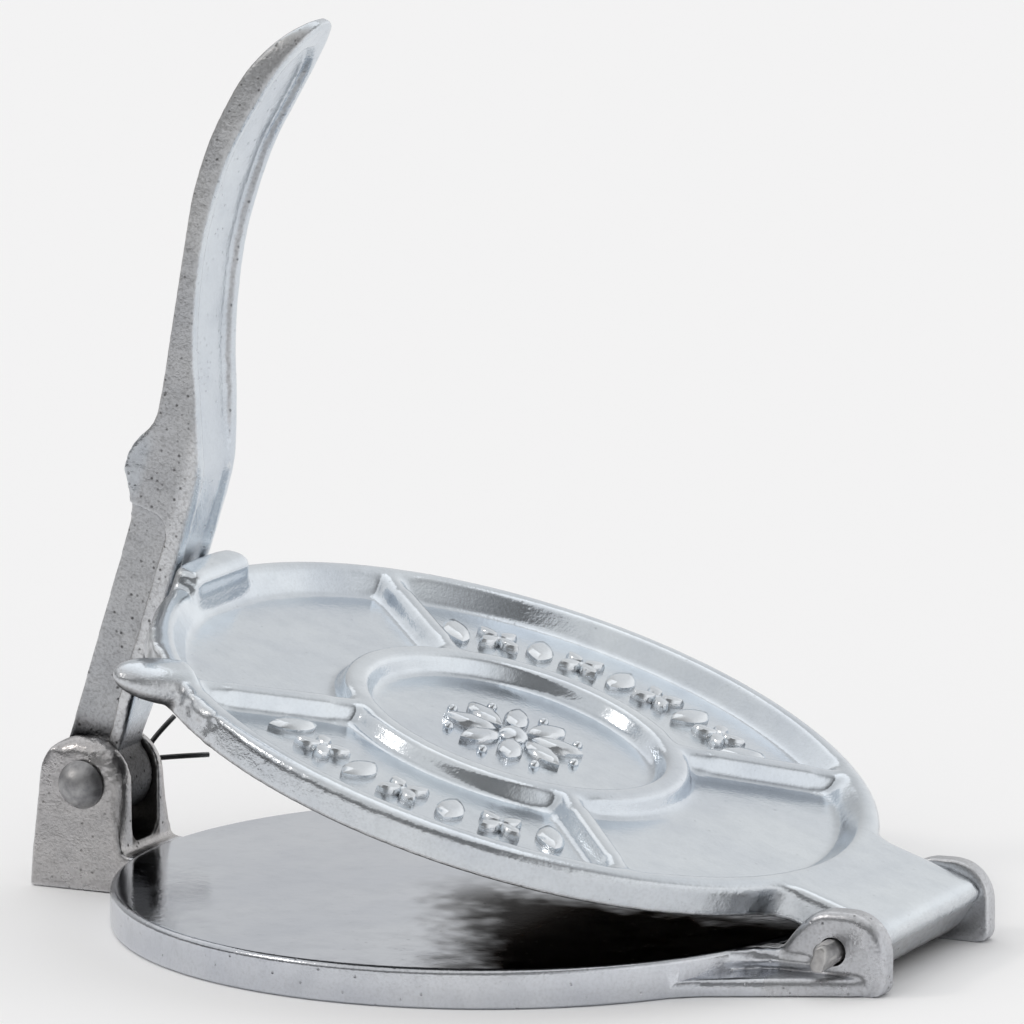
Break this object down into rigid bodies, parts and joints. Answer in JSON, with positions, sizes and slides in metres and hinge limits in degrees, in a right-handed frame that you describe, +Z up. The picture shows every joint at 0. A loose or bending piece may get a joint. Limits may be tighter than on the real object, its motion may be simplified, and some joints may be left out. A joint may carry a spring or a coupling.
{
  "type": "tortilla press",
  "caption": "Cast tortilla press: round base plate with a clevis and hinge ears, ribbed hinged lid standing open, and a long lever that presses on the lid's front pad.",
  "frame": {"origin": "centre of the base plate's underside, on the surface the press stands on", "axes": "+X from the clevis to the hinge, +Y along the hinge pin, +Z up"},
  "size_m": [0.2589, 0.2, 0.2365],
  "materials": {
    "base_tin": "tinned, polished on the plate's top, sand-rough on the clevis and ears",
    "lid_tin": "tinned, glossy as cast",
    "lever_tin": "tinned, satin as cast",
    "pin_steel": "plain steel, dulled",
    "dark_wire": "dark drawn wire"
  },
  "bodies": {
    "base": {"base_casting": "base_tin"},
    "lid": {"lid_casting": "lid_tin"},
    "lever": {"lever": "lever_tin"},
    "clevis_pin": {"clevis_pin": "pin_steel", "cotter_pin": "dark_wire"},
    "hinge_pin": {"hinge_pin": "pin_steel"}
  },
  "joints": [
    {"name": "lid_hinge", "type": "hinge", "parent": "base", "child": "lid", "pos_m": [0.1145, 0, 0.011], "axis": [0, 1, 0], "range_deg": [-18, 62]},
    {"name": "lever_pivot", "type": "hinge", "parent": "base", "child": "lever", "pos_m": [-0.1144, 0, 0.0286], "axis": [0, 1, 0], "range_deg": [-111, 0]},
    {"name": "clevis_pin_spin", "type": "hinge", "parent": "base", "child": "clevis_pin", "pos_m": [-0.1144, 0, 0.0286], "axis": [0, 1, 0], "continuous": true},
    {"name": "hinge_pin_spin", "type": "hinge", "parent": "base", "child": "hinge_pin", "pos_m": [0.1145, 0, 0.011], "axis": [0, 1, 0], "continuous": true}
  ]
}
